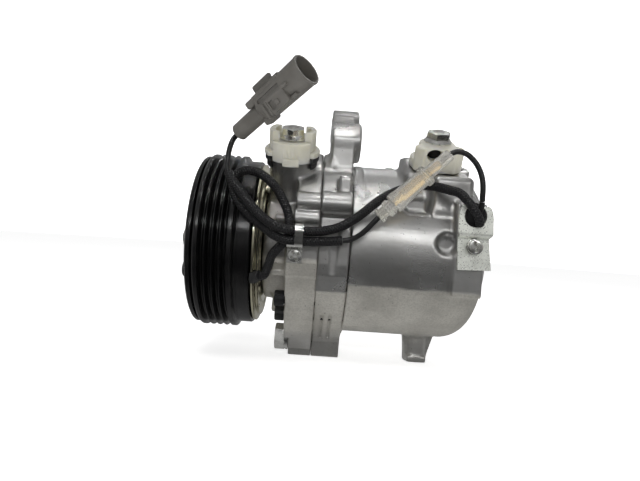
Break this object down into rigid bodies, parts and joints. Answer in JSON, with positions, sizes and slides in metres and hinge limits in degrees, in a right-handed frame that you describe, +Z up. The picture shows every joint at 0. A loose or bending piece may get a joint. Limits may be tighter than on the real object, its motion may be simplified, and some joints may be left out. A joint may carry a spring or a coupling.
{
  "type": "automotive ac compressor",
  "caption": "Small rotary-vane car air-conditioning compressor with a ribbed clutch pulley, capped ports, mounting ear and lugs, and a clutch wiring lead.",
  "frame": {"origin": "middle of the flat foot under the centre housing's bottom lug, straight below the shaft's axis", "axes": "+X along the shaft from the pulley to the rear shell, +Y away from the wiring side, +Z up"},
  "size_m": [0.1579, 0.1216, 0.1409],
  "materials": {
    "cast_aluminium": "die-cast, tumbled, satin",
    "black_paint": "black e-coat, semi-gloss",
    "zinc_plate": "bright zinc plate",
    "yellow_zinc": "yellow zinc plate",
    "steel": "ground steel",
    "dark_steel": "black oxide",
    "black_rubber": "matt black",
    "copper": "enamelled copper wire",
    "pale_plastic": "translucent white",
    "grey_plastic": "grey, satin",
    "clear_plastic": "clear, slightly yellow",
    "brass": "bright",
    "black_plastic": "moulded black"
  },
  "bodies": {
    "housing": {"pulley_bearing_inner": "steel", "nose_circlip": "dark_steel", "field_coil": "yellow_zinc", "coil_winding": "copper", "coil_grommet": "black_rubber", "front_head": "cast_aluminium", "shaft_seal": "black_rubber", "front_needle_bearing": "steel", "centre_housing": "cast_aluminium", "front_block_seal": "black_rubber", "rear_block_seal": "black_rubber", "front_side_block": "cast_aluminium", "cylinder_block": "cast_aluminium", "rear_side_block": "cast_aluminium", "rear_needle_bearing": "steel", "discharge_reed": "steel", "rear_shell": "cast_aluminium", "lug_bolt": "zinc_plate", "front_port_cap": "pale_plastic", "front_port_seal": "black_rubber", "front_cap_bolt": "zinc_plate", "rear_port_cap": "pale_plastic", "rear_port_seal": "black_rubber", "rear_cap_bolt": "zinc_plate", "lead_clip": "zinc_plate", "clip_screw": "zinc_plate", "switch_bracket": "zinc_plate", "bracket_screw": "zinc_plate", "thermal_switch": "black_plastic", "switch_grommet": "black_rubber", "connector_housing": "grey_plastic", "connector_lock": "grey_plastic", "connector_terminal": "brass", "bullet_socket_sleeve": "clear_plastic", "bullet_plug_sleeve": "clear_plastic", "bullet_terminal": "brass", "coil_lead": "black_rubber", "feed_sleeve": "black_rubber", "feed_wire": "black_rubber", "bullet_wire": "black_rubber", "switch_wire": "black_rubber", "housing_bolt_1": "dark_steel", "housing_bolt_2": "dark_steel", "housing_bolt_3": "dark_steel", "housing_bolt_4": "dark_steel"},
    "pulley": {"pulley": "black_paint", "pulley_bearing_outer": "steel", "pulley_bearing_cage": "steel"},
    "shaft": {"drive_shaft": "steel", "clutch_hub": "black_paint", "shaft_nut": "zinc_plate", "hub_spring": "dark_steel", "rotor": "steel", "vane_1": "dark_steel", "vane_2": "dark_steel", "vane_3": "dark_steel", "vane_4": "dark_steel", "vane_5": "dark_steel"},
    "armature": {"armature_plate": "black_paint"}
  },
  "joints": [
    {"name": "pulley_spin", "type": "hinge", "parent": "housing", "child": "pulley", "pos_m": [-0.0573, 0, 0.06], "axis": [1, 0, 0], "continuous": true},
    {"name": "shaft_spin", "type": "hinge", "parent": "housing", "child": "shaft", "pos_m": [0, 0, 0.06], "axis": [1, 0, 0], "continuous": true},
    {"name": "clutch_engage", "type": "slide", "parent": "shaft", "child": "armature", "axis": [1, 0, 0], "range_m": [0, 0.0005], "stiffness_N_per_m": 20000, "springref_m": -0.0003}
  ]
}
